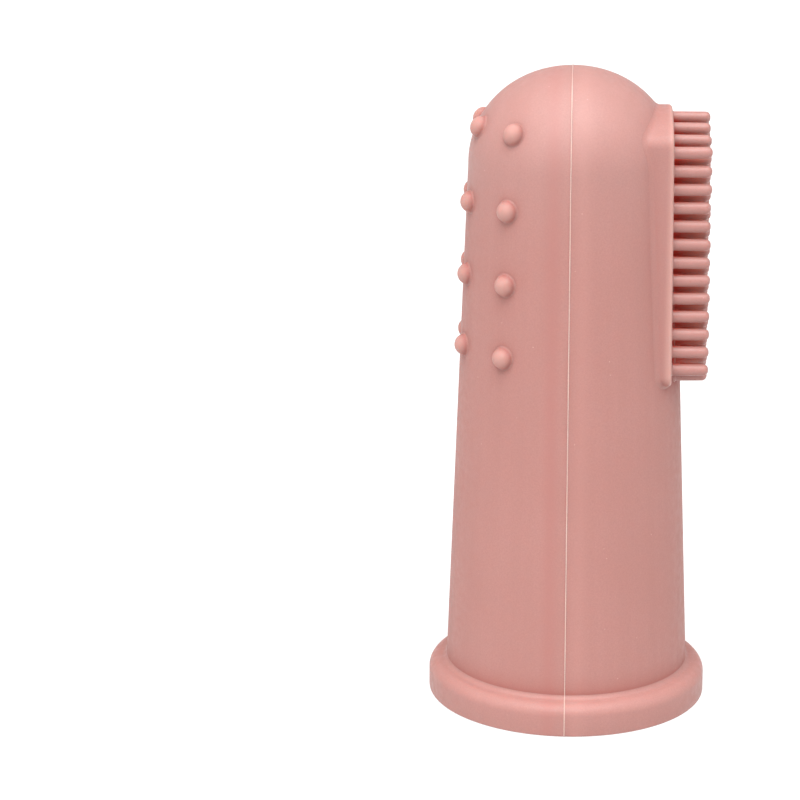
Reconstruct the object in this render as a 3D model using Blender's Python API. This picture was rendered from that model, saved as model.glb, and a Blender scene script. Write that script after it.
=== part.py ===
"""Silicone finger toothbrush: a soft thimble worn on a fingertip, with bristles in front and nubs behind.

Metres, +Z up. The mouth of the sleeve stands on z = 0, centred on the origin, and the closed tip is up.
The bristles point along +X, the massage nubs along -X, and Y runs across the finger.
Every bristle row bends about a line along Y at its root.
"""

import math

import bmesh
import bpy
from mathutils import Matrix, Vector

MM = 0.001

# Sleeve: an upright oval tube that narrows upwards and closes in a blunt dome.
HEIGHT = 60.0 * MM
SHOULDER_Z = 51.2 * MM
MOUTH_HALF_DEPTH = 11.65 * MM
MOUTH_HALF_WIDTH = 11.2 * MM
SHOULDER_HALF_DEPTH = 9.45 * MM
SHOULDER_HALF_WIDTH = 9.4 * MM
DOME_POWER = 2.04
WALL = 1.6 * MM
TIP_WALL = 2.2 * MM
SLEEVE_SIDES = 44
DOME_RINGS = 7
SKIN_GAP = 0.08 * MM

# Rim: the rolled collar around the mouth.
RIM_HALF_DEPTH = 13.2 * MM
RIM_HALF_WIDTH = 12.8 * MM
RIM_HEIGHT = 3.05 * MM
RIM_TOP_RADIUS = 0.85 * MM
RIM_FOOT_RADIUS = 0.2 * MM
RIM_ROUNDING_STEPS = 4

# Draft: the pad's face and the bristles' ends lean back towards the tip, measured from this height.
FACE_DRAFT = 0.012
FACE_MIDDLE_Z = 44.0 * MM

# Pad: the flat face that the bristles stand on, with an arched top.
PAD_FACE_X = 9.18 * MM
PAD_BACK_X = 4.0 * MM
PAD_HALF_WIDTH = 6.3 * MM
PAD_BOTTOM_Z = 31.55 * MM
PAD_TOP_Z = 56.45 * MM
PAD_ARCH_RADIUS = 9.9 * MM
PAD_SHOULDER_RADIUS = 1.5 * MM
PAD_FOOT_RADIUS = 1.1 * MM
PAD_EDGE = 0.3 * MM
PAD_ARC_STEPS = 4
PAD_ARCH_STEPS = 12

# Bristles: seven staggered columns, grouped into rows that bend together.
BRISTLE_TIP_X = 12.47 * MM
BRISTLE_RADIUS = 0.55 * MM
BRISTLE_SIDES = 8
BRISTLE_TIP_LENGTH = 0.32 * MM
BRISTLE_TIP_RADIUS = 0.36 * MM
COLUMN_PITCH = 1.64 * MM
ROW_PITCH = 1.66 * MM
TOP_ROW_Z = 55.45 * MM
LAST_ROW = 14
ROOT_GAP = 0.25 * MM
WEB_DEPTH = 0.4 * MM

# Massage nubs: four columns of four half-round studs on the back.
NUB_RADIUS = 1.0 * MM
NUB_HEIGHT = 0.95 * MM
NUB_SIDES = 10
NUB_RINGS = 3
NUB_ROWS = 4
NUB_TOP_Z = 54.75 * MM
NUB_ROW_PITCH = 6.67 * MM
NUB_ANGLES = (-54.0, -19.0, 19.0, 54.0)

# Silicone colours, linear RGB.
ROSE = (0.62, 0.29, 0.26)
PALE_ROSE = (0.72, 0.38, 0.34)
DEEP_ROSE = (0.52, 0.22, 0.20)


def material(name, colour, roughness):
    """A moulded-silicone finish: matt, never metallic."""
    finish = bpy.data.materials.new(name)
    finish.use_nodes = True
    shader = finish.node_tree.nodes["Principled BSDF"]
    shader.inputs["Base Color"].default_value = (*colour, 1.0)
    shader.inputs["Roughness"].default_value = roughness
    shader.inputs["Metallic"].default_value = 0.0
    return finish


def add_object(name, mesh_data, finish, location=(0.0, 0.0, 0.0)):
    """Turn a bmesh into a named object with its own finish."""
    bmesh.ops.recalc_face_normals(mesh_data, faces=mesh_data.faces)
    mesh = bpy.data.meshes.new(name)
    mesh_data.to_mesh(mesh)
    mesh_data.free()
    mesh.shade_smooth()
    mesh.set_sharp_from_angle(angle=math.radians(35.0))
    if finish is not None:
        mesh.materials.append(finish)
    piece = bpy.data.objects.new(name, mesh)
    piece.location = location
    bpy.context.scene.collection.objects.link(piece)
    return piece


def loft(mesh_data, rings, close_start=True, close_end=True):
    """Skin a list of equal-length point rings, with flat caps at the ends."""
    loops = [[mesh_data.verts.new(point) for point in ring] for ring in rings]
    count = len(loops[0])
    for lower, upper in zip(loops, loops[1:]):
        for i in range(count):
            j = (i + 1) % count
            mesh_data.faces.new((lower[i], lower[j], upper[j], upper[i]))
    if close_start:
        mesh_data.faces.new(list(reversed(loops[0])))
    if close_end:
        mesh_data.faces.new(loops[-1])
    return loops


def close_to_pole(mesh_data, loop, point):
    """Close a ring with a fan of triangles to one point."""
    pole = mesh_data.verts.new(point)
    for i, vert in enumerate(loop):
        mesh_data.faces.new((vert, loop[(i + 1) % len(loop)], pole))


def half_size(z, mouth, shoulder):
    """Half the sleeve's outer size at height z, along X or along Y."""
    straight = mouth + (shoulder - mouth) * min(z, SHOULDER_Z) / SHOULDER_Z
    rise = max(z - SHOULDER_Z, 0.0) / (HEIGHT - SHOULDER_Z)
    return straight * (1.0 - min(rise, 1.0) ** DOME_POWER) ** (1.0 / DOME_POWER)


def half_depth(z):
    return half_size(z, MOUTH_HALF_DEPTH, SHOULDER_HALF_DEPTH)


def half_width(z):
    return half_size(z, MOUTH_HALF_WIDTH, SHOULDER_HALF_WIDTH)


def oval(depth, width, z, sides=SLEEVE_SIDES):
    """A ring of points on an upright ellipse's outline."""
    turns = [2.0 * math.pi * i / sides for i in range(sides)]
    return [Vector((depth * math.cos(t), width * math.sin(t), z)) for t in turns]


def dome_heights(shoulder_z, top_z):
    """Heights that step evenly around a dome, without its pole."""
    quarter = math.pi / 2.0
    rises = [math.sin(quarter * i / DOME_RINGS) for i in range(1, DOME_RINGS)]
    return [shoulder_z + (top_z - shoulder_z) * rise for rise in rises]


def outer_rings(grow=0.0, foot_z=0.0):
    """The outside of the sleeve as rings, pushed outwards by grow."""
    heights = [foot_z, SHOULDER_Z * 0.5, SHOULDER_Z] + dome_heights(SHOULDER_Z, HEIGHT)
    rings = []
    for z in heights:
        rise = max(z - SHOULDER_Z, 0.0) / (HEIGHT - SHOULDER_Z)
        depth = half_depth(max(z, 0.0)) + grow
        width = half_width(max(z, 0.0)) + grow
        rings.append(oval(depth, width, z + grow * rise))
    return rings


def inner_rings():
    """The finger cavity as rings, from the mouth up."""
    inner_top = HEIGHT - TIP_WALL
    heights = [0.0, SHOULDER_Z * 0.5, SHOULDER_Z] + dome_heights(SHOULDER_Z, inner_top)
    rings = []
    for z in heights:
        rise = max(z - SHOULDER_Z, 0.0) / (inner_top - SHOULDER_Z)
        shrink = (1.0 - rise**DOME_POWER) ** (1.0 / DOME_POWER)
        straight_z = min(z, SHOULDER_Z)
        depth = (half_depth(straight_z) - WALL) * shrink
        width = (half_width(straight_z) - WALL) * shrink
        rings.append(oval(depth, width, z))
    return rings


def finger_sleeve():
    """The hollow thimble: outer skin, finger cavity, and the flat lip that joins them."""
    mesh_data = bmesh.new()
    outside = loft(mesh_data, outer_rings(), close_start=False, close_end=False)
    close_to_pole(mesh_data, outside[-1], Vector((0.0, 0.0, HEIGHT)))
    inside = loft(mesh_data, inner_rings(), close_start=False, close_end=False)
    close_to_pole(mesh_data, inside[-1], Vector((0.0, 0.0, HEIGHT - TIP_WALL)))
    for i in range(SLEEVE_SIDES):
        j = (i + 1) % SLEEVE_SIDES
        mesh_data.faces.new((outside[0][i], outside[0][j], inside[0][j], inside[0][i]))
    return add_object("finger_sleeve", mesh_data, material("sleeve_silicone", ROSE, 0.5))


def quarter_turn(centre_offset, centre_z, radius, start):
    """Points (inset, z) around a rounded edge, from the start angle through 90 degrees."""
    steps = [start + (math.pi / 2.0) * i / RIM_ROUNDING_STEPS for i in range(RIM_ROUNDING_STEPS + 1)]
    return [(centre_offset - radius * math.cos(t), centre_z + radius * math.sin(t)) for t in steps]


def base_rim():
    """The collar: an oval ring with a rolled top edge and a flat foot, clear of the sleeve it wraps."""
    foot = quarter_turn(RIM_FOOT_RADIUS, RIM_FOOT_RADIUS, RIM_FOOT_RADIUS, -math.pi / 2.0)
    top = quarter_turn(RIM_TOP_RADIUS, RIM_HEIGHT - RIM_TOP_RADIUS, RIM_TOP_RADIUS, 0.0)
    rings = [
        oval(RIM_HALF_DEPTH - inset, RIM_HALF_WIDTH - inset, z) for inset, z in foot + top
    ]
    bore_top = oval(half_depth(RIM_HEIGHT) + SKIN_GAP, half_width(RIM_HEIGHT) + SKIN_GAP, RIM_HEIGHT)
    bore_foot = oval(half_depth(0.0) + SKIN_GAP, half_width(0.0) + SKIN_GAP, 0.0)
    rings += [bore_top, bore_foot]
    mesh_data = bmesh.new()
    loops = loft(mesh_data, rings, close_start=False, close_end=False)
    for i in range(SLEEVE_SIDES):
        j = (i + 1) % SLEEVE_SIDES
        mesh_data.faces.new((loops[-1][i], loops[-1][j], loops[0][j], loops[0][i]))
    return add_object("base_rim", mesh_data, material("rim_silicone", PALE_ROSE, 0.45))


def arc(centre_y, centre_z, radius, start, end, steps):
    """Points (y, z) along an arc, angles in radians from +Y towards +Z."""
    turns = [start + (end - start) * i / steps for i in range(steps + 1)]
    return [(centre_y + radius * math.cos(t), centre_z + radius * math.sin(t)) for t in turns]


def pad_outline(inset):
    """The pad seen from the front: rounded foot, straight sides, arched top with rounded shoulders."""
    side = PAD_HALF_WIDTH - inset
    bottom = PAD_BOTTOM_Z + inset
    arch_z = PAD_TOP_Z - PAD_ARCH_RADIUS
    arch_radius = PAD_ARCH_RADIUS - inset
    shoulder = PAD_SHOULDER_RADIUS
    foot = PAD_FOOT_RADIUS
    shoulder_y = side - shoulder
    shoulder_z = arch_z + math.sqrt((arch_radius - shoulder) ** 2 - shoulder_y**2)
    lean = math.atan2(shoulder_z - arch_z, shoulder_y)
    points = arc(side - foot, bottom + foot, foot, -math.pi / 2.0, 0.0, PAD_ARC_STEPS)
    points += arc(shoulder_y, shoulder_z, shoulder, 0.0, lean, PAD_ARC_STEPS)
    points += arc(0.0, arch_z, arch_radius, lean, math.pi - lean, PAD_ARCH_STEPS)[1:-1]
    points += arc(-shoulder_y, shoulder_z, shoulder, math.pi - lean, math.pi, PAD_ARC_STEPS)
    points += arc(foot - side, bottom + foot, foot, math.pi, 1.5 * math.pi, PAD_ARC_STEPS)
    return points


def draft(z):
    """How much further out the pad and the bristles' ends stand at height z than at their middle."""
    return FACE_DRAFT * (FACE_MIDDLE_Z - z)


def bristle_pad():
    """The pad's raised part: a plate with a softened front edge, hollowed to sit on the sleeve."""
    stations = [(PAD_BACK_X, 0.0), (PAD_FACE_X - PAD_EDGE, 0.0), (PAD_FACE_X, PAD_EDGE)]
    rings = [[Vector((x + draft(z), y, z)) for y, z in pad_outline(inset)] for x, inset in stations]
    mesh_data = bmesh.new()
    loft(mesh_data, rings)
    pad = add_object("bristle_pad", mesh_data, material("pad_silicone", PALE_ROSE, 0.5))

    mesh_data = bmesh.new()
    skin = loft(mesh_data, outer_rings(grow=SKIN_GAP, foot_z=-RIM_HEIGHT), close_end=False)
    close_to_pole(mesh_data, skin[-1], Vector((0.0, 0.0, HEIGHT + SKIN_GAP)))
    cutter = add_object("pad_seat_cutter", mesh_data, None)
    cutter.hide_render = True
    cutter.display_type = "WIRE"

    seat = pad.modifiers.new("seat on the sleeve", "BOOLEAN")
    seat.operation = "DIFFERENCE"
    seat.object = cutter
    return pad


def bed_x(y, z):
    """How far out the bed stands at (y, z): the flat pad, or the sleeve where it bulges past the pad."""
    across = min(abs(y) / half_width(z), 1.0)
    return max(PAD_FACE_X + draft(z), half_depth(z) * math.sqrt(1.0 - across**2))


def root_x(y, z):
    """Where a bristle's root starts, clear of the bed under its whole footprint."""
    near_y = max(abs(y) - BRISTLE_RADIUS, 0.0)
    return bed_x(near_y, z - BRISTLE_RADIUS) + ROOT_GAP


def row_columns(half_rows):
    """The columns, counted from the middle one, that a row at this many half pitches down holds."""
    if half_rows % 2:
        widest = 3 if half_rows > 1 else 1
    else:
        widest = 2 if half_rows > 0 else 0
    return range(-widest, widest + 1, 2)


def bristle_row(number, half_rows):
    """One row of round-ended bristles, joined at their roots by a low web, hinged at its root line."""
    row_z = TOP_ROW_Z - half_rows * ROW_PITCH / 2.0
    hinge = Vector((max(root_x(c * COLUMN_PITCH, row_z) for c in row_columns(half_rows)), 0.0, row_z))
    tip = BRISTLE_TIP_X + draft(row_z)
    turn = math.pi / BRISTLE_SIDES
    mesh_data = bmesh.new()
    columns = []
    for column in row_columns(half_rows):
        y = column * COLUMN_PITCH
        root = root_x(y, row_z)
        stations = [
            (root, BRISTLE_RADIUS),
            (root + WEB_DEPTH, BRISTLE_RADIUS),
            (tip - BRISTLE_TIP_LENGTH, BRISTLE_RADIUS),
            (tip, BRISTLE_TIP_RADIUS),
        ]
        rings = []
        for x, radius in stations:
            turns = [turn + 2.0 * turn * i for i in range(BRISTLE_SIDES)]
            rings.append([Vector((x, y + radius * math.cos(t), row_z + radius * math.sin(t))) - hinge for t in turns])
        columns.append(loft(mesh_data, rings))
    for left, right in zip(columns, columns[1:]):
        join_by_web(mesh_data, left, right)
    return add_object(
        f"bristle_row_{number:02d}", mesh_data, material(f"bristle_silicone_{number:02d}", PALE_ROSE, 0.4), hinge
    )


def join_by_web(mesh_data, left, right):
    """Bridge the facing flats of two neighbouring bristles, between their root ring and the next."""
    last = BRISTLE_SIDES - 1
    half = BRISTLE_SIDES // 2
    near = [left[0][last], left[0][0], left[1][0], left[1][last]]
    far = [right[0][half], right[0][half - 1], right[1][half - 1], right[1][half]]
    for corners in (near, far):
        mesh_data.faces.remove(next(f for f in corners[0].link_faces if set(f.verts) == set(corners)))
    for i in range(4):
        j = (i + 1) % 4
        mesh_data.faces.new((near[i], near[j], far[j], far[i]))


def massage_nub(row, column, angle, z):
    """A half-round stud standing square on the back of the sleeve."""
    mesh_data = bmesh.new()
    rings = []
    for i in range(NUB_RINGS):
        lift = math.radians(90.0) * i / NUB_RINGS
        turns = [2.0 * math.pi * k / NUB_SIDES for k in range(NUB_SIDES)]
        radius = NUB_RADIUS * math.cos(lift)
        height = NUB_HEIGHT * math.sin(lift)
        rings.append([Vector((radius * math.cos(t), radius * math.sin(t), height)) for t in turns])
    loops = loft(mesh_data, rings, close_end=False)
    close_to_pole(mesh_data, loops[-1], Vector((0.0, 0.0, NUB_HEIGHT)))
    name = f"massage_nub_{row}{column}"
    nub = add_object(name, mesh_data, material(f"nub_silicone_{row}{column}", DEEP_ROSE, 0.45))
    seat, out = back_seat(math.radians(angle), z)
    turn = Vector((0.0, 0.0, 1.0)).rotation_difference(out)
    nub.matrix_world = Matrix.Translation(seat + out * SKIN_GAP) @ turn.to_matrix().to_4x4()
    return nub


def back_point(angle, z):
    """A point on the sleeve's skin, the angle taken from -X towards -Y."""
    return Vector((-half_depth(z) * math.cos(angle), -half_width(z) * math.sin(angle), z))


def back_seat(angle, z):
    """A point on the back of the skin and the direction square out of it."""
    step = 0.01
    across = back_point(angle + step, z) - back_point(angle - step, z)
    up = back_point(angle, z + step * MM) - back_point(angle, z - step * MM)
    out = across.cross(up).normalized()
    seat = back_point(angle, z)
    if out.x * seat.x < 0.0:
        out.negate()
    return seat, out


def build():
    """Clear the scene and make every sub-part."""
    for old in list(bpy.data.objects):
        bpy.data.objects.remove(old)
    finger_sleeve()
    base_rim()
    bristle_pad()
    for row in range(NUB_ROWS):
        for column, angle in enumerate(NUB_ANGLES):
            massage_nub("abcd"[row], column + 1, angle, NUB_TOP_Z - row * NUB_ROW_PITCH)
    for half_rows in range(2 * LAST_ROW + 1):
        bristle_row(half_rows + 1, half_rows)


build()
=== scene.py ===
"""Looks for the silicone finger toothbrush: fine moulded meshes, silicone finishes, studio and camera.

Everything is in metres in the CAD's frame: the mouth of the sleeve stands on z = 0, centred on the origin,
the bristles point along +X and the massage nubs along -X.
"""

import math
import random

import bpy
from mathutils import Matrix, Vector


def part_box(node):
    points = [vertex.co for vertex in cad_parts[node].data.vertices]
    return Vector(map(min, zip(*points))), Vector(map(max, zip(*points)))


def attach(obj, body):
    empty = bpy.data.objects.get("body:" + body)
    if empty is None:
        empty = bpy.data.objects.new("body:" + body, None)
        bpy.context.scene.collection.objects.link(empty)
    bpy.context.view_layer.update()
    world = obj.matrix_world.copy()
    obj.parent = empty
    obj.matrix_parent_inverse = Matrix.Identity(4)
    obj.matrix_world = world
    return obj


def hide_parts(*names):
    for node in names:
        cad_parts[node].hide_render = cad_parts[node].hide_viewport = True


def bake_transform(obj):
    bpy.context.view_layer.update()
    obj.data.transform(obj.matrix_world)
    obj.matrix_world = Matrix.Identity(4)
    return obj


MM = 0.001

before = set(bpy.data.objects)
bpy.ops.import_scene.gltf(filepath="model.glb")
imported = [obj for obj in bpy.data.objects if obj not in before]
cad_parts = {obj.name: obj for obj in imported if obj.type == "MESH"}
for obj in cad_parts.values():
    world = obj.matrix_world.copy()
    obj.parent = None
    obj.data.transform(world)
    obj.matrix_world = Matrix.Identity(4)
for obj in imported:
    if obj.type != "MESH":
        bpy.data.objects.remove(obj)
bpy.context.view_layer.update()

# ---------------------------------------------------------------- the CAD's own sizes

_, SLEEVE_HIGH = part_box("finger_sleeve")
_, RIM_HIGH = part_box("base_rim")
PAD_LOW, PAD_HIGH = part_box("bristle_pad")
ROWS = sorted(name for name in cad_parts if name.startswith("bristle_row_"))
NUBS = sorted(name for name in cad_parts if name.startswith("massage_nub_"))

HEIGHT = SLEEVE_HIGH.z
MOUTH_HALF_DEPTH = SLEEVE_HIGH.x
MOUTH_HALF_WIDTH = SLEEVE_HIGH.y
RIM_HALF_DEPTH = RIM_HIGH.x
RIM_HALF_WIDTH = RIM_HIGH.y
RIM_TOP = RIM_HIGH.z
PAD_HALF_WIDTH = PAD_HIGH.y
PAD_BOTTOM_Z = PAD_LOW.z
PAD_TOP_Z = PAD_HIGH.z

# The sleeve's taper, dome and wall, which a box doesn't tell.
SHOULDER_Z = 51.2 * MM
SHOULDER_HALF_DEPTH = 9.45 * MM
SHOULDER_HALF_WIDTH = 9.4 * MM
DOME_POWER = 2.04
WALL = 1.6 * MM
TIP_WALL = 2.2 * MM

# ---------------------------------------------------------------- fine shape

# Sides around the sleeve, and rings along its straight part, its dome and its cavity.
SLEEVE_SIDES = 256
SLEEVE_RINGS = 64
DOME_RINGS = 40
CAVITY_RINGS = 24
LIP_RADIUS = 0.4 * MM
LIP_STEPS = 6

# The collar's run-out up the sleeve, its top and bottom rounds, and how far it reaches into the sleeve.
RIM_FILLET = 0.5 * MM
RIM_EDGE_RADIUS = 1.1 * MM
RIM_FOOT_RADIUS = 0.22 * MM
RIM_BITE = 0.3 * MM
ROUND_STEPS = 10

# The pad's face leans back by FACE_DRAFT per unit of height. Each skin's foot dips under the sleeve's.
FACE_DRAFT = 0.012
PAD_ARCH_RADIUS = 9.9 * MM
PAD_SHOULDER_RADIUS = 1.5 * MM
PAD_FOOT_RADIUS = 1.1 * MM
PAD_FILLET = 0.35 * MM
PAD_EDGE_RADIUS = 0.3 * MM
SKIN_DIP = 0.01 * MM
PAD_SIDE_STEPS = 60
PAD_ARCH_STEPS = 60
PAD_BOTTOM_STEPS = 40
PAD_SHOULDER_STEPS = 12
PAD_FOOT_STEPS = 10

# A nub is the cap of a ball whose centre lies NUB_SINK under the skin. Its mesh holds, at each point, how
# much of the painted highlight on its top shows: none up to CAP_START above the skin, all from CAP_FULL on.
NUB_RADIUS = 1.0 * MM
NUB_SINK = 0.05 * MM
NUB_FILLET = 0.25 * MM
NUB_SIDES = 36
NUB_CAP_RINGS = 14
NUB_FOOT_RINGS = 8
CAP_HIGHLIGHT_SHARE = "cap_highlight_share"
CAP_START = 0.10 * MM
CAP_FULL = 0.90 * MM

# A bristle thins by BRISTLE_TAPER over its shaft, and its last BRISTLE_END is a blunt superellipse.
# Bristles reach further out towards the sleeve's tip, by TIP_FLARE per unit of height. The outermost columns
# are OUTER_COLUMN pitches from the middle, and the first and last row stand END_ROW_DROP lower than in CAD.
BRISTLE_RADIUS = 0.555 * MM
BRISTLE_TAPER = 0.02 * MM
BRISTLE_SIDES = 20
BRISTLE_ROOT_RINGS = 5
BRISTLE_SHAFT_RINGS = 10
BRISTLE_END_RINGS = 9
BRISTLE_ROOT_FILLET = 0.14 * MM
BRISTLE_SINK = 0.3 * MM
BRISTLE_END = 0.5 * MM
BRISTLE_END_POWER = 2.25
OUTER_COLUMN = 3
END_ROW_DROP = 0.08 * MM
TIP_FLARE = 0.0065
LENGTH_SPREAD = 0.05 * MM
LEAN_SPREAD = 0.035 * MM

# The parting line's flash. FLASH_WAVER is how much its height and its width waver, as shares of them.
FLASH_HALF_WIDTH = 0.06 * MM
FLASH_HEIGHT = 0.055 * MM
FLASH_WAVER = (0.25, 0.12)
FLASH_LONG_WAVE = 1.9 * MM
FLASH_SHORT_WAVE = 0.83 * MM
FLASH_SHORT_SHARE = 0.6

# Across the flash, in half widths and heights: two feet just under the skin, two shoulders and the ridge.
FLASH_SECTION = ((-1.0, -0.4), (-0.8, 0.45), (0.0, 1.0), (0.8, 0.45), (1.0, -0.4))


def half_sizes(z, skin=0.0):
    """Half the sleeve's depth and width at height z, with skin added outwards."""
    rise = min(max(z - SHOULDER_Z, 0.0) / (HEIGHT - SHOULDER_Z), 1.0)
    shrink = (1.0 - rise**DOME_POWER) ** (1.0 / DOME_POWER)
    along = min(z, SHOULDER_Z) / SHOULDER_Z
    depth = MOUTH_HALF_DEPTH + (SHOULDER_HALF_DEPTH - MOUTH_HALF_DEPTH) * along
    width = MOUTH_HALF_WIDTH + (SHOULDER_HALF_WIDTH - MOUTH_HALF_WIDTH) * along
    return depth * shrink + skin, width * shrink + skin


def sleeve_x(y, z):
    """How far forward the sleeve's skin stands at (y, z)."""
    depth, width = half_sizes(z)
    return depth * math.sqrt(max(1.0 - (y / width) ** 2, 0.0))


def pad_face_x(z):
    """How far forward the pad's face stands: it leans back a little towards the tip."""
    return PAD_HIGH.x - FACE_DRAFT * (z - PAD_BOTTOM_Z)


def skin_point(turn, z):
    """A point on the sleeve's skin, its outward normal, the unit tangent up it and metres per radian."""
    step = 1e-3
    lift = 0.01 * MM

    def at(t, h):
        depth, width = half_sizes(h)
        return Vector((depth * math.cos(t), width * math.sin(t), h))

    across = at(turn + step, z) - at(turn - step, z)
    along = at(turn, z + lift) - at(turn, z - lift)
    spread = across.length / (2.0 * step)
    return at(turn, z), across.cross(along).normalized(), along.normalized(), spread


# ---------------------------------------------------------------- mesh helpers


def add_piece(name, points, faces, finish):
    """A smooth-shaded mesh object, named and slotted."""
    mesh = bpy.data.meshes.new(name)
    mesh.from_pydata([tuple(point) for point in points], [], faces)
    mesh.shade_smooth()
    mesh.materials.append(finish)
    piece = bpy.data.objects.new(name, mesh)
    bpy.context.scene.collection.objects.link(piece)
    return piece


def skin_rings(points, faces, rings, wrap=False):
    """Append rings of equal length and the quads between them; wrap joins the last ring to the first.

    Returns the indices where the first and the last ring start.
    """
    count = len(rings[0])
    start = len(points)
    for ring in rings:
        points.extend(ring)
    pairs = len(rings) if wrap else len(rings) - 1
    for k in range(pairs):
        lower = start + k * count
        upper = start + ((k + 1) % len(rings)) * count
        for i in range(count):
            j = (i + 1) % count
            faces.append((lower + i, lower + j, upper + j, upper + i))
    return start, start + (len(rings) - 1) * count


def fan(points, faces, first, count, pole, flip=False):
    """Close a ring that starts at index first with triangles to a pole."""
    points.append(pole)
    top = len(points) - 1
    for i in range(count):
        j = (i + 1) % count
        faces.append((first + j, first + i, top) if flip else (first + i, first + j, top))


def oval(depth, width, z, sides=SLEEVE_SIDES):
    """Points around an upright ellipse."""
    turns = [2.0 * math.pi * i / sides for i in range(sides)]
    return [Vector((depth * math.cos(t), width * math.sin(t), z)) for t in turns]


def quarter(steps):
    """Angles from 0 to 90 degrees."""
    return [0.5 * math.pi * i / steps for i in range(steps + 1)]


# ---------------------------------------------------------------- finishes


ROSE = (0.419, 0.206, 0.183)
ROSE_DEEP = (0.407, 0.196, 0.173)
# Painted shade, where another part stands near.
SHADE = (0.330, 0.105, 0.088)
# The painted highlight along the pad's brink.
PAD_EDGE_HIGHLIGHT = (0.62, 0.38, 0.33)
# The painted highlight on the nubs' tops.
NUB_CAP_HIGHLIGHT = (0.458, 0.243, 0.212)
FLASH_PALE = (0.70, 0.47, 0.42)
FLASH_DEEP = (0.60, 0.36, 0.32)
# The painted shade between the bristles, at their bed and near their ends.
CREVICE_SHADE_DEEP = (0.72, 0.040, 0.010)
CREVICE_SHADE_MOUTH = (1.00, 0.240, 0.120)
DUST = (0.70, 0.46, 0.42)

# Noise scales, in cells per metre, of the clouding, drawing marks, grain, dust specks and uneven gloss.
CLOUD_SCALE = 110.0
STREAK_SCALE = 900.0
GRAIN_SCALE = 7000.0
DUST_SCALE = 900.0
DUST_PATCH_SCALE = 700.0
GLOSS_SCALE = 1500.0
GLOSS_SPREAD = 0.10
STREAK_SQUEEZE = (1.0, 1.0, 0.03)
STREAK_DARKENING = 0.94
GRAIN_DARKENING = 0.82
GRAIN_DEPTH = 0.03 * MM

# How far the surface looks around itself for neighbours, for the painted shade beside the pad and nubs and
# for the painted shade between bristles.
SHADING_REACH = 2.5 * MM
CREVICE_SHADE_REACH = 1.6 * MM

# Across X: the pad's brink, which gets a painted highlight, and the bristle field, where shade is painted
# between the bristles, from its bed to near the ends.
BRINK_HIGHLIGHT_SPAN = (PAD_HIGH.x - 0.95 * MM, PAD_HIGH.x - 0.15 * MM)
FIELD = (PAD_HIGH.x + 0.2 * MM, PAD_HIGH.x + 3.2 * MM)

# Along Z: the crown's sheen comes in from below the shoulder to half way up the dome.
CROWN = (SHOULDER_Z - 9.0 * MM, SHOULDER_Z + 4.5 * MM)

# Upright bands of painted shade and painted light beside the parting line, across X: left edge, middle,
# right edge, tone and weight.
SEAM_SHADE_BANDS = (
    (-2.6 * MM, -1.5 * MM, -0.5 * MM, (0.385, 0.160, 0.142), 0.45),
    (0.1 * MM, 1.1 * MM, 2.4 * MM, (0.480, 0.240, 0.210), 0.22),
)


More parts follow.
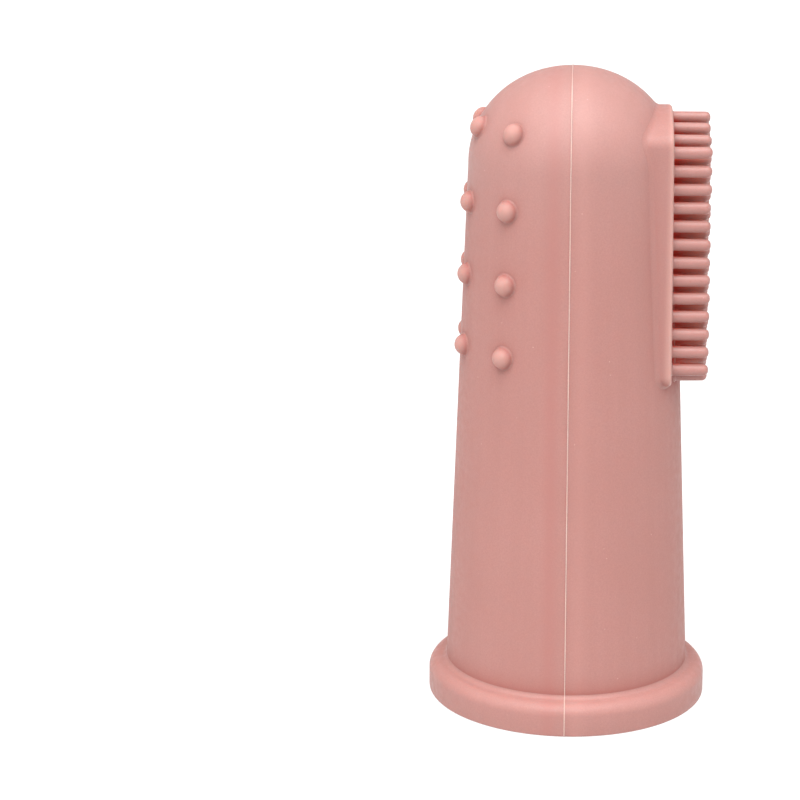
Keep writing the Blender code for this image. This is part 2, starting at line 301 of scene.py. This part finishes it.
class Finish:
    """A material under construction: a Principled shader and short ways to wire nodes into it."""

    def __init__(self, name):
        self.material = bpy.data.materials.new(name)
        self.material.use_nodes = True
        self.nodes = self.material.node_tree.nodes
        self.links = self.material.node_tree.links
        self.shader = self.nodes["Principled BSDF"]
        self.place = self.nodes.new("ShaderNodeTexCoord").outputs["Object"]

    def set(self, **values):
        """Plain values on the shader's own sockets."""
        for socket, value in values.items():
            self.shader.inputs[socket.replace("_", " ")].default_value = value

    def noise(self, scale, detail, rough=0.5, squeeze=(1.0, 1.0, 1.0)):
        """Cloudy noise in object space; squeeze under 1 draws it out along that axis."""
        stretch = self.nodes.new("ShaderNodeMapping")
        stretch.inputs["Scale"].default_value = squeeze
        self.links.new(self.place, stretch.inputs["Vector"])
        cloud = self.nodes.new("ShaderNodeTexNoise")
        cloud.inputs["Scale"].default_value = scale
        cloud.inputs["Detail"].default_value = detail
        cloud.inputs["Roughness"].default_value = rough
        self.links.new(stretch.outputs["Vector"], cloud.inputs["Vector"])
        return cloud.outputs["Fac"]

    def remap(self, value, low, high, to_low, to_high, smooth=False):
        """A value carried from one range to another, clamped."""
        ramp = self.nodes.new("ShaderNodeMapRange")
        ramp.interpolation_type = "SMOOTHSTEP" if smooth else "LINEAR"
        ends = {"From Min": low, "From Max": high, "To Min": to_low, "To Max": to_high}
        for socket, end in ends.items():
            ramp.inputs[socket].default_value = end
        self.links.new(value, ramp.inputs["Value"])
        return ramp.outputs["Result"]

    def axis(self, name):
        """One coordinate of the place in the object."""
        parts = self.nodes.new("ShaderNodeSeparateXYZ")
        self.links.new(self.place, parts.inputs["Vector"])
        return parts.outputs[name]

    def combine(self, operation, first, second):
        """Two values through a math node."""
        maths = self.nodes.new("ShaderNodeMath")
        maths.operation = operation
        self.links.new(first, maths.inputs[0])
        self.links.new(second, maths.inputs[1])
        return maths.outputs["Value"]

    def times(self, first, second):
        """The product of two values."""
        return self.combine("MULTIPLY", first, second)

    def higher(self, first, second):
        """The higher of two values."""
        return self.combine("MAXIMUM", first, second)

    def mix(self, factor, first, second):
        """Two colours, each a plain one or a socket, mixed by a factor."""
        blend = self.nodes.new("ShaderNodeMix")
        blend.data_type = "RGBA"
        factor_in, first_in, second_in = (
            next(socket for socket in blend.inputs if socket.identifier == identifier)
            for identifier in ("Factor_Float", "A_Color", "B_Color")
        )
        self.links.new(factor, factor_in)
        for socket, colour in ((first_in, first), (second_in, second)):
            if isinstance(colour, tuple):
                socket.default_value = (*colour, 1.0)
            else:
                self.links.new(colour, socket)
        return next(socket for socket in blend.outputs if socket.identifier == "Result_Color")

    def stored(self, name):
        """A value that the mesh holds at its points."""
        reader = self.nodes.new("ShaderNodeAttribute")
        reader.attribute_name = name
        return reader.outputs["Fac"]

    def occlusion(self, reach, samples=12):
        """How open the surface is to its surroundings within reach, 1 where nothing is near."""
        probe = self.nodes.new("ShaderNodeAmbientOcclusion")
        probe.samples = samples
        probe.inputs["Distance"].default_value = reach
        return probe.outputs["AO"]

    def bump(self, height, strength, depth):
        """Fine relief on the shader's normal."""
        relief = self.nodes.new("ShaderNodeBump")
        relief.inputs["Strength"].default_value = strength
        relief.inputs["Distance"].default_value = depth
        self.links.new(height, relief.inputs["Height"])
        self.links.new(relief.outputs["Normal"], self.shader.inputs["Normal"])


def darker(colour, share):
    """A colour at a share of its brightness."""
    return tuple(share * channel for channel in colour)


def add_dust(finish, tone, amount):
    """A few pale specks, thinned out by a patchy noise."""
    cells = finish.nodes.new("ShaderNodeTexVoronoi")
    cells.inputs["Scale"].default_value = DUST_SCALE
    finish.links.new(finish.place, cells.inputs["Vector"])
    near = finish.remap(cells.outputs["Distance"], 0.035, 0.075, amount, 0.0)
    chosen = finish.remap(finish.noise(DUST_PATCH_SCALE, 0.0), 0.56, 0.62, 0.0, 1.0)
    return finish.mix(finish.times(near, chosen), tone, DUST)


def add_seam_shade_bands(finish, tone):
    """A band of painted shade and a band of painted light, upright beside the parting line."""
    across = finish.axis("X")
    for left, middle, right, shade, strength in SEAM_SHADE_BANDS:
        rising = finish.remap(across, left, middle, 0.0, 1.0, smooth=True)
        falling = finish.remap(across, middle, right, 1.0, 0.0, smooth=True)
        weight = finish.remap(finish.times(rising, falling), 0.0, 1.0, 0.0, strength)
        tone = finish.mix(weight, tone, shade)
    return tone


def silicone(
    name, roughness, colour=ROSE, deep=ROSE_DEEP, dust=0.35, grain=0.05, gloss_level=0.35, translucency=0.25,
    scatter=0.7 * MM, shading=0.0, edge_highlight=0.0, crevice_shade=False, polish=False, cap=None,
):
    """Moulded silicone, soft and translucent.

    All of it has faint clouding, upright drawing marks, fine pigment grain, a few specks of dust, uneven
    gloss, and upright bands of painted shade and painted light beside the parting line. shading paints shade
    into the tone where another part stands near, the pad's edge setting paints a highlight along its brink,
    the crevice setting paints dark red shade between the bristles, polish gives the crown a sheen, and cap
    is a highlight painted paler on a nub's top.
    """
    finish = Finish(name)
    finish.set(
        Metallic=0.0,
        IOR=1.41,
        Specular_IOR_Level=gloss_level,
        Subsurface_Weight=translucency,
        Subsurface_Radius=(1.0, 0.32, 0.22),
        Subsurface_Scale=scatter,
    )
    cloud = finish.remap(finish.noise(CLOUD_SCALE, 2.0), 0.35, 0.65, 0.0, 1.0)
    tone = finish.mix(cloud, deep, colour)
    streak = finish.remap(finish.noise(STREAK_SCALE, 1.0, squeeze=STREAK_SQUEEZE), 0.35, 0.65, 0.0, 0.35)
    tone = finish.mix(streak, tone, darker(deep, STREAK_DARKENING))
    grains = finish.remap(finish.noise(GRAIN_SCALE, 2.0, 0.6), 0.3, 0.7, 0.0, 0.50)
    tone = finish.mix(grains, tone, darker(deep, GRAIN_DARKENING))
    tone = add_dust(finish, tone, dust)
    # Painted shade and painted light in upright bands beside the parting line.
    tone = add_seam_shade_bands(finish, tone)

    # Painted highlight: a nub's top is paled where its cap catches the light, fading out at its foot.
    if cap:
        tone = finish.mix(finish.stored(CAP_HIGHLIGHT_SHARE), tone, cap)
    # Painted highlight: the pad's brink is paled, as if its rounded edge caught the light.
    if edge_highlight:
        brink_highlight = finish.remap(finish.axis("X"), *BRINK_HIGHLIGHT_SPAN, 0.0, edge_highlight, smooth=True)
        tone = finish.mix(brink_highlight, tone, PAD_EDGE_HIGHLIGHT)
    # Painted shade: the tone darkens towards SHADE where another part stands near, in the run-outs beside
    # the pad and around the nubs' feet.
    if shading:
        painted_shade_weight = finish.remap(finish.occlusion(SHADING_REACH), 0.64, 0.97, shading, 0.0)
        tone = finish.mix(painted_shade_weight, tone, SHADE)

    gloss = finish.remap(
        finish.noise(GLOSS_SCALE, 2.0), 0.3, 0.7, roughness - GLOSS_SPREAD, roughness + GLOSS_SPREAD
    )
    # Painted shade between the bristles: deep red at their bed, paler red towards their ends, where little
    # light gets in; these places are also made rougher.
    if crevice_shade:
        gain = finish.remap(finish.axis("X"), *FIELD, 1.08, 0.76)
        openness = finish.times(finish.occlusion(CREVICE_SHADE_REACH), gain)
        crevice_shade_weight = finish.remap(openness, 0.22, 0.50, 1.0, 0.0, smooth=True)
        depth = finish.remap(finish.axis("X"), *FIELD, 0.0, 1.0)
        tone = finish.mix(crevice_shade_weight, tone, finish.mix(depth, CREVICE_SHADE_DEEP, CREVICE_SHADE_MOUTH))
        gloss = finish.higher(gloss, crevice_shade_weight)
    if polish:
        finish.set(Coat_IOR=1.5, Coat_Roughness=0.60)
        crown = finish.remap(finish.axis("Z"), *CROWN, 0.0, 1.0, smooth=True)
        finish.links.new(crown, finish.shader.inputs["Coat Weight"])

    finish.links.new(tone, finish.shader.inputs["Base Color"])
    finish.links.new(gloss, finish.shader.inputs["Roughness"])
    finish.bump(finish.noise(GRAIN_SCALE, 3.0, 0.6), grain, GRAIN_DEPTH)
    return finish.material


sleeve_finish = silicone("sleeve_silicone", 0.55, gloss_level=0.18, shading=0.9, crevice_shade=True, polish=True)
rim_finish = silicone("rim_silicone", 0.46)
pad_finish = silicone("pad_silicone", 0.48, gloss_level=0.4, shading=0.9, edge_highlight=0.45, crevice_shade=True)
nub_finish = silicone(
    "nub_silicone", 0.50, gloss_level=0.3, translucency=0.35, scatter=0.9 * MM, shading=0.8, cap=NUB_CAP_HIGHLIGHT
)
bristle_finish = silicone(
    "bristle_silicone", 0.36, dust=0.6, grain=0.08, gloss_level=0.42, scatter=0.35 * MM, crevice_shade=True
)
flash_finish = silicone("flash_silicone", 0.40, colour=FLASH_PALE, deep=FLASH_DEEP)

# ---------------------------------------------------------------- sleeve


def cavity_profile():
    """(depth, width, z) of the finger cavity's rings, from just under its crown down to the mouth."""
    crown = HEIGHT - TIP_WALL
    rings = []
    for i in range(1, CAVITY_RINGS):
        rise = math.cos(0.5 * math.pi * i / CAVITY_RINGS)
        depth, width = half_sizes(SHOULDER_Z, -WALL)
        shrink = (1.0 - rise**DOME_POWER) ** (1.0 / DOME_POWER)
        rings.append((depth * shrink, width * shrink, SHOULDER_Z + (crown - SHOULDER_Z) * rise))
    for i in range(CAVITY_RINGS):
        z = SHOULDER_Z + (LIP_RADIUS - SHOULDER_Z) * i / (CAVITY_RINGS - 1)
        rings.append((*half_sizes(z, -WALL), z))
    for angle in quarter(LIP_STEPS)[1:]:
        z = LIP_RADIUS * (1.0 - math.sin(angle))
        rings.append((*half_sizes(0.0, -WALL + LIP_RADIUS * (1.0 - math.cos(angle))), z))
    return rings


def outer_profile():
    """(depth, width, z) of the outer skin's rings, from the mouth up to just under the crown."""
    rings = []
    for i in range(SLEEVE_RINGS):
        z = SHOULDER_Z * i / SLEEVE_RINGS
        rings.append((*half_sizes(z), z))
    for i in range(DOME_RINGS):
        z = SHOULDER_Z + (HEIGHT - SHOULDER_Z) * math.sin(0.5 * math.pi * i / DOME_RINGS)
        rings.append((*half_sizes(z), z))
    return rings


def make_sleeve():
    """The hollow thimble, inside and out, with a rounded inner lip at its mouth."""
    points, faces = [], []
    rings = [oval(*ring) for ring in cavity_profile() + outer_profile()]
    first, last = skin_rings(points, faces, rings)
    fan(points, faces, first, SLEEVE_SIDES, Vector((0.0, 0.0, HEIGHT - TIP_WALL)), flip=True)
    fan(points, faces, last, SLEEVE_SIDES, Vector((0.0, 0.0, HEIGHT)))
    sleeve = add_piece("sleeve_skin", points, faces, sleeve_finish)
    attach(sleeve, "root")
    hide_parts("finger_sleeve")


# ---------------------------------------------------------------- rim


def rim_profile():
    """(depth, width, z) around the collar's section, from its inner fillet over the top to its foot."""
    rings = []
    for angle in quarter(ROUND_STEPS):
        z = RIM_TOP + RIM_FILLET * (1.0 - math.sin(angle))
        out = RIM_FILLET * (1.0 - math.cos(angle)) - SKIN_DIP
        rings.append((*half_sizes(z, out), z))
    for angle in quarter(ROUND_STEPS):
        inset = RIM_EDGE_RADIUS * (1.0 - math.sin(angle))
        z = RIM_TOP - RIM_EDGE_RADIUS * (1.0 - math.cos(angle))
        rings.append((RIM_HALF_DEPTH - inset, RIM_HALF_WIDTH - inset, z))
    for angle in quarter(ROUND_STEPS // 2):
        inset = RIM_FOOT_RADIUS * (1.0 - math.cos(angle))
        z = RIM_FOOT_RADIUS * (1.0 - math.sin(angle))
        rings.append((RIM_HALF_DEPTH - inset, RIM_HALF_WIDTH - inset, z))
    rings.append((*half_sizes(0.0, -RIM_BITE), 0.0))
    rings.append((*half_sizes(RIM_TOP, -RIM_BITE), RIM_TOP))
    return rings


def make_rim():
    """The rolled collar, with a small concave run-out up the sleeve."""
    points, faces = [], []
    rings = [oval(*ring) for ring in reversed(rim_profile())]
    skin_rings(points, faces, rings, wrap=True)
    rim = add_piece("rim_skin", points, faces, rim_finish)
    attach(rim, "root")
    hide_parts("base_rim")


# ---------------------------------------------------------------- pad


def arc(centre_y, centre_z, radius, start, end, steps):
    """Points (y, z) along an arc, angles in radians from +Y towards +Z, with the end point left out."""
    turns = [start + (end - start) * i / steps for i in range(steps)]
    return [(centre_y + radius * math.cos(t), centre_z + radius * math.sin(t)) for t in turns]


def line(start, end, steps):
    """Points (y, z) along a line, with the end point left out."""
    return [
        tuple(a + (b - a) * i / steps for a, b in zip(start, end)) for i in range(steps)
    ]


def pad_outline(grow):
    """The pad's outline moved outwards by grow, anticlockwise from its foot's right corner."""
    side = PAD_HALF_WIDTH + grow
    bottom = PAD_BOTTOM_Z - grow
    arch_z = PAD_TOP_Z - PAD_ARCH_RADIUS
    arch = PAD_ARCH_RADIUS + grow
    shoulder = PAD_SHOULDER_RADIUS + grow
    foot = PAD_FOOT_RADIUS + grow
    corner_y = side - shoulder
    corner_z = arch_z + math.sqrt((arch - shoulder) ** 2 - corner_y**2)
    lean = math.atan2(corner_z - arch_z, corner_y)
    right_angle = 0.5 * math.pi
    points = arc(side - foot, bottom + foot, foot, -right_angle, 0.0, PAD_FOOT_STEPS)
    points += line((side, bottom + foot), (side, corner_z), PAD_SIDE_STEPS)
    points += arc(corner_y, corner_z, shoulder, 0.0, lean, PAD_SHOULDER_STEPS)
    points += arc(0.0, arch_z, arch, lean, math.pi - lean, PAD_ARCH_STEPS)
    points += arc(-corner_y, corner_z, shoulder, math.pi - lean, math.pi, PAD_SHOULDER_STEPS)
    points += line((-side, corner_z), (-side, bottom + foot), PAD_SIDE_STEPS)
    points += arc(foot - side, bottom + foot, foot, math.pi, 3.0 * right_angle, PAD_FOOT_STEPS)
    points += line((foot - side, bottom), (side - foot, bottom), PAD_BOTTOM_STEPS)
    return points


def pad_ring(grow, share, under_face=False):
    """A ring of the pad's skin, grown outwards by grow.

    It stands a share of the fillet above the sleeve or, under_face, a share of the edge's round below the
    face. Where the face is too low over the sleeve for both rounds, they shrink to fit.
    """
    ring = []
    for y, z in pad_outline(grow):
        base = sleeve_x(y, z) - SKIN_DIP
        face = pad_face_x(z)
        room = min(max((face - base) / (PAD_FILLET + PAD_EDGE_RADIUS), 0.0), 1.0)
        x = face - PAD_EDGE_RADIUS * room * share if under_face else base + PAD_FILLET * room * share
        ring.append(Vector((x, y, z)))
    return ring


def make_pad():
    """The raised pad: concave run-out from the sleeve, short wall, rounded edge, flat face."""
    rings = []
    for angle in quarter(ROUND_STEPS):
        grow = PAD_FILLET * (1.0 - math.sin(angle))
        rings.append(pad_ring(grow, 1.0 - math.cos(angle)))
    for angle in quarter(ROUND_STEPS):
        grow = -PAD_EDGE_RADIUS * (1.0 - math.cos(angle))
        rings.append(pad_ring(grow, 1.0 - math.sin(angle), under_face=True))
    points, faces = [], []
    _, last = skin_rings(points, faces, rings)
    faces.append(tuple(range(last, len(points))))
    pad = add_piece("pad_skin", points, faces, pad_finish)
    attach(pad, "root")
    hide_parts("bristle_pad")


# ---------------------------------------------------------------- massage nubs


def nub_profile():
    """(radius, height) down a nub: a round cap, then a concave run-out to the skin."""
    reach = NUB_RADIUS + NUB_FILLET
    foot_radius = math.sqrt(reach**2 - (NUB_FILLET + NUB_SINK) ** 2)
    meet = math.asin(foot_radius / reach)
    profile = []
    for i in range(1, NUB_CAP_RINGS + 1):
        angle = meet * i / NUB_CAP_RINGS
        profile.append((NUB_RADIUS * math.sin(angle), NUB_RADIUS * math.cos(angle) - NUB_SINK))
    for i in range(1, NUB_FOOT_RINGS + 1):
        angle = meet * (1.0 - i / NUB_FOOT_RINGS)
        profile.append((foot_radius - NUB_FILLET * math.sin(angle), NUB_FILLET * (1.0 - math.cos(angle))))
    return profile


def make_nub(node):
    """A half-round stud that grows out of the sleeve's back."""
    low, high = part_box(node)
    centre = (low + high) * 0.5
    foot_z = centre.z
    depth, width = half_sizes(foot_z)
    turn = math.atan2(centre.y / width, centre.x / depth)
    middle, normal, along, spread = skin_point(turn, foot_z)
    points, faces, rings, heights = [], [], [], []
    for radius, height in nub_profile():
        heights.append(height)
        ring = []
        for i in range(NUB_SIDES):
            angle = 2.0 * math.pi * i / NUB_SIDES
            local_turn = turn + radius * math.cos(angle) / spread
            local_z = foot_z + radius * math.sin(angle) * along.z
            seat, out, _, _ = skin_point(local_turn, local_z)
            ring.append(seat + out * (height - SKIN_DIP))
        rings.append(ring)
    rings.reverse()
    _, last = skin_rings(points, faces, rings)
    fan(points, faces, last, NUB_SIDES, middle + normal * (NUB_RADIUS - NUB_SINK - SKIN_DIP))
    nub = add_piece(node + "_skin", points, faces, nub_finish)
    heights.reverse()
    # How much of the painted highlight shows on each ring, none at the foot and all near the top.
    shares = [min(max((height - CAP_START) / (CAP_FULL - CAP_START), 0.0), 1.0) for height in heights]
    store = nub.data.attributes.new(CAP_HIGHLIGHT_SHARE, "FLOAT", "POINT")
    store.data.foreach_set("value", [share for share in shares for _ in range(NUB_SIDES)] + [1.0])
    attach(nub, "root")
    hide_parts(node)


# ---------------------------------------------------------------- bristles


def bed_x(y, z):
    """Where the bed stands: the pad's flat face, or the sleeve where it bulges past it."""
    return max(pad_face_x(z), sleeve_x(y, z))


def bristle_profile(root, tip):
    """(x, radius) along a bristle, from inside the bed over the root fillet to its rounded end."""
    profile = [(root - BRISTLE_SINK, BRISTLE_RADIUS + BRISTLE_ROOT_FILLET)]
    for angle in quarter(BRISTLE_ROOT_RINGS):
        x = root + BRISTLE_ROOT_FILLET * (1.0 - math.cos(angle))
        profile.append((x, BRISTLE_RADIUS + BRISTLE_ROOT_FILLET * (1.0 - math.sin(angle))))
    shaft_start = root + BRISTLE_ROOT_FILLET
    shaft_end = tip - BRISTLE_END
    for i in range(1, BRISTLE_SHAFT_RINGS + 1):
        share = i / BRISTLE_SHAFT_RINGS
        x = shaft_start + (shaft_end - shaft_start) * share
        profile.append((x, BRISTLE_RADIUS - BRISTLE_TAPER * share))
    for i in range(1, BRISTLE_END_RINGS):
        rise = math.sin(0.5 * math.pi * i / BRISTLE_END_RINGS)
        shrink = (1.0 - rise**BRISTLE_END_POWER) ** (1.0 / BRISTLE_END_POWER)
        profile.append((shaft_end + BRISTLE_END * rise, (BRISTLE_RADIUS - BRISTLE_TAPER) * shrink))
    return profile


def add_bristle(points, faces, y, z, root, tip, lean):
    """One bristle along +X; lean is how far its end strays along Y and Z."""
    rings = []
    length = tip - root
    for x, radius in bristle_profile(root, tip):
        share = max(x - root, 0.0) / length
        ring_y = y + lean[0] * share**2
        ring_z = z + lean[1] * share**2
        ring = []
        for i in range(BRISTLE_SIDES):
            angle = 2.0 * math.pi * i / BRISTLE_SIDES
            ring.append(Vector((x, ring_y + radius * math.cos(angle), ring_z + radius * math.sin(angle))))
        rings.append(ring)
    _, last = skin_rings(points, faces, rings)
    fan(points, faces, last, BRISTLE_SIDES, Vector((tip, y + lean[0], z + lean[1])))


def make_bristle_row(node, column_pitch, chance):
    """A row of bristles, each straying a little along Y and Z towards its end."""
    low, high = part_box(node)
    row_z = (low.z + high.z) * 0.5
    if node in (ROWS[0], ROWS[-1]):
        row_z -= END_ROW_DROP
    reach = high.x + TIP_FLARE * (row_z - PAD_BOTTOM_Z)
    widest = round((high.y - BRISTLE_RADIUS) / column_pitch)
    points, faces = [], []
    for column in range(-widest, widest + 1, 2):
        y = column * column_pitch
        root = bed_x(y, row_z)
        tip = reach + chance.uniform(-LENGTH_SPREAD, LENGTH_SPREAD)
        lean = [chance.uniform(-LEAN_SPREAD, LEAN_SPREAD) for _ in range(2)]
        add_bristle(points, faces, y, row_z, root, tip, lean)
    row = add_piece(node.replace("bristle_row", "bristles"), points, faces, bristle_finish)
    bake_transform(row)
    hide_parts(node)


def make_bristles():
    """All the rows, with a little difference in length and lean from bristle to bristle."""
    chance = random.Random(7)
    boxes = [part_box(node) for node in ROWS]
    widest = max(high.y for _, high in boxes)
    cad_radius = max(high.z - low.z for low, high in boxes) * 0.5
    column_pitch = (widest - cad_radius) / OUTER_COLUMN
    for node in ROWS:
        make_bristle_row(node, column_pitch, chance)


# ---------------------------------------------------------------- parting line


def meridian():
    """(y, z) points and outward normals up one side of the rim and sleeve, in the plane x = 0."""
    rim = [(width, z) for _, width, z in reversed(rim_profile()[:-2])]
    sleeve = [(width, z) for _, width, z in outer_profile() if z > RIM_TOP + RIM_FILLET]
    path = rim + sleeve
    normals = []
    for k in range(len(path)):
        before = path[max(k - 1, 0)]
        after = path[min(k + 1, len(path) - 1)]
        run = (after[0] - before[0], after[1] - before[1])
        length = math.hypot(*run)
        normals.append((run[1] / length, -run[0] / length))
    return path, normals


def make_parting_line():
    """The thin flash where the two mould halves met, over both sides, the crown and the rim."""
    path, normals = meridian()
    mirrored = [(-y, z) for y, z in reversed(path)]
    mirrored_normals = [(-y, z) for y, z in reversed(normals)]
    path = path + [(0.0, HEIGHT)] + mirrored
    normals = normals + [(0.0, 1.0)] + mirrored_normals
    points, faces = [], []
    travelled = 0.0
    for k, ((y, z), (out_y, out_z)) in enumerate(zip(path, normals)):
        if k:
            travelled += math.dist(path[k - 1], (y, z))
        wave = math.sin(travelled / FLASH_LONG_WAVE)
        wave += FLASH_SHORT_SHARE * math.sin(travelled / FLASH_SHORT_WAVE + 1.0)
        height = FLASH_HEIGHT * (1.0 + FLASH_WAVER[0] * wave)
        half = FLASH_HALF_WIDTH * (1.0 + FLASH_WAVER[1] * wave)
        for across, lift in FLASH_SECTION:
            rise = height * lift
            points.append(Vector((half * across, y + out_y * rise, max(z + out_z * rise, 0.0))))
    section = len(FLASH_SECTION)
    for k in range(len(path) - 1):
        for i in range(section):
            j = (i + 1) % section
            faces.append((k * section + i, k * section + j, (k + 1) * section + j, (k + 1) * section + i))
    faces.append(tuple(reversed(range(section))))
    faces.append(tuple(range(len(points) - section, len(points))))
    flash = add_piece("parting_flash", points, faces, flash_finish)
    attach(flash, "root")


# ---------------------------------------------------------------- studio


FLOOR_HALF = 3.0
FLOOR_COLOUR = (0.20, 0.20, 0.20, 1.0)
FLOOR_GLOW = 0.85
WHITE = (1.0, 1.0, 1.0, 1.0)
WORLD_STRENGTH = 0.45

# Azimuth, elevation and spread in degrees, and strength. Azimuth runs from -Y, the camera's side, to +X.
SOFTBOXES = {
    "overhead_softbox": (0.0, 68.0, 60.0, 4.4),
    "front_softbox": (-45.0, 30.0, 60.0, 1.10),
    "side_softbox": (80.0, 18.0, 50.0, 0.50),
}


def make_floor():
    """A wide white light table: matt, and glowing from below so that it stays white around the brush."""
    mesh = bpy.data.meshes.new("floor")
    signs = ((-1.0, -1.0), (1.0, -1.0), (1.0, 1.0), (-1.0, 1.0))
    corners = [(x * FLOOR_HALF, y * FLOOR_HALF, 0.0) for x, y in signs]
    mesh.from_pydata(corners, [], [(0, 1, 2, 3)])
    surface = Finish("floor_white")
    surface.set(Base_Color=FLOOR_COLOUR, Roughness=0.9, Specular_IOR_Level=0.0)
    surface.set(Emission_Color=WHITE, Emission_Strength=FLOOR_GLOW)
    mesh.materials.append(surface.material)
    floor = bpy.data.objects.new("floor", mesh)
    bpy.context.scene.collection.objects.link(floor)


def add_softbox(name, azimuth, elevation, spread, strength):
    """A far, wide light, with its azimuth, elevation and spread in degrees."""
    data = bpy.data.lights.new(name, "SUN")
    data.angle = math.radians(spread)
    data.energy = strength
    around, up = math.radians(azimuth), math.radians(elevation)
    toward = Vector((math.sin(around) * math.cos(up), -math.cos(around) * math.cos(up), math.sin(up)))
    light = bpy.data.objects.new(name, data)
    light.rotation_euler = (-toward).to_track_quat("-Z", "Y").to_euler()
    light.location = toward
    bpy.context.scene.collection.objects.link(light)


def make_lights():
    """The softboxes and a white surround, which lights the brush weakly and is plain white to the eye."""
    world = bpy.data.worlds.new("studio")
    world.use_nodes = True
    tree = world.node_tree
    surround = tree.nodes["Background"]
    surround.inputs["Color"].default_value = WHITE
    surround.inputs["Strength"].default_value = WORLD_STRENGTH
    backdrop = tree.nodes.new("ShaderNodeBackground")
    backdrop.inputs["Color"].default_value = WHITE
    seen = tree.nodes.new("ShaderNodeLightPath")
    either = tree.nodes.new("ShaderNodeMixShader")
    tree.links.new(seen.outputs["Is Camera Ray"], either.inputs["Fac"])
    tree.links.new(surround.outputs["Background"], either.inputs[1])
    tree.links.new(backdrop.outputs["Background"], either.inputs[2])
    tree.links.new(either.outputs["Shader"], tree.nodes["World Output"].inputs["Surface"])
    bpy.context.scene.world = world
    for name, setting in SOFTBOXES.items():
        add_softbox(name, *setting)


# Heading runs from +Y towards +X, pitch upwards and roll anticlockwise, in degrees.
CAMERA_PLACE = Vector((1.14, -215.05, 89.14)) * MM
CAMERA_HEADING = -4.53
CAMERA_PITCH = -15.72
CAMERA_ROLL = -0.45
LENS_MM = 106.8
SENSOR_MM = 36.0
NEAREST = 10.0 * MM


def make_camera():
    """The camera: in front of the brush's side, above it and looking down."""
    heading, pitch, roll = (math.radians(a) for a in (CAMERA_HEADING, CAMERA_PITCH, CAMERA_ROLL))
    ahead = Vector((math.sin(heading), math.cos(heading), 0.0))
    forward = ahead * math.cos(pitch) + Vector((0.0, 0.0, math.sin(pitch)))
    level = Vector((math.cos(heading), -math.sin(heading), 0.0))
    upward = level.cross(forward)
    right = level * math.cos(roll) + upward * math.sin(roll)
    up = upward * math.cos(roll) - level * math.sin(roll)
    data = bpy.data.cameras.new("camera")
    data.lens = LENS_MM
    data.sensor_width = SENSOR_MM
    data.clip_start = NEAREST
    camera = bpy.data.objects.new("camera", data)
    axes = Matrix((right, up, -forward)).transposed().to_4x4()
    camera.matrix_world = Matrix.Translation(CAMERA_PLACE) @ axes
    bpy.context.scene.collection.objects.link(camera)
    bpy.context.scene.camera = camera


make_camera()
make_floor()
make_lights()
make_sleeve()
make_rim()
make_pad()
for nub_node in NUBS:
    make_nub(nub_node)
make_bristles()
make_parting_line()

bpy.context.scene.view_settings.view_transform = "Standard"
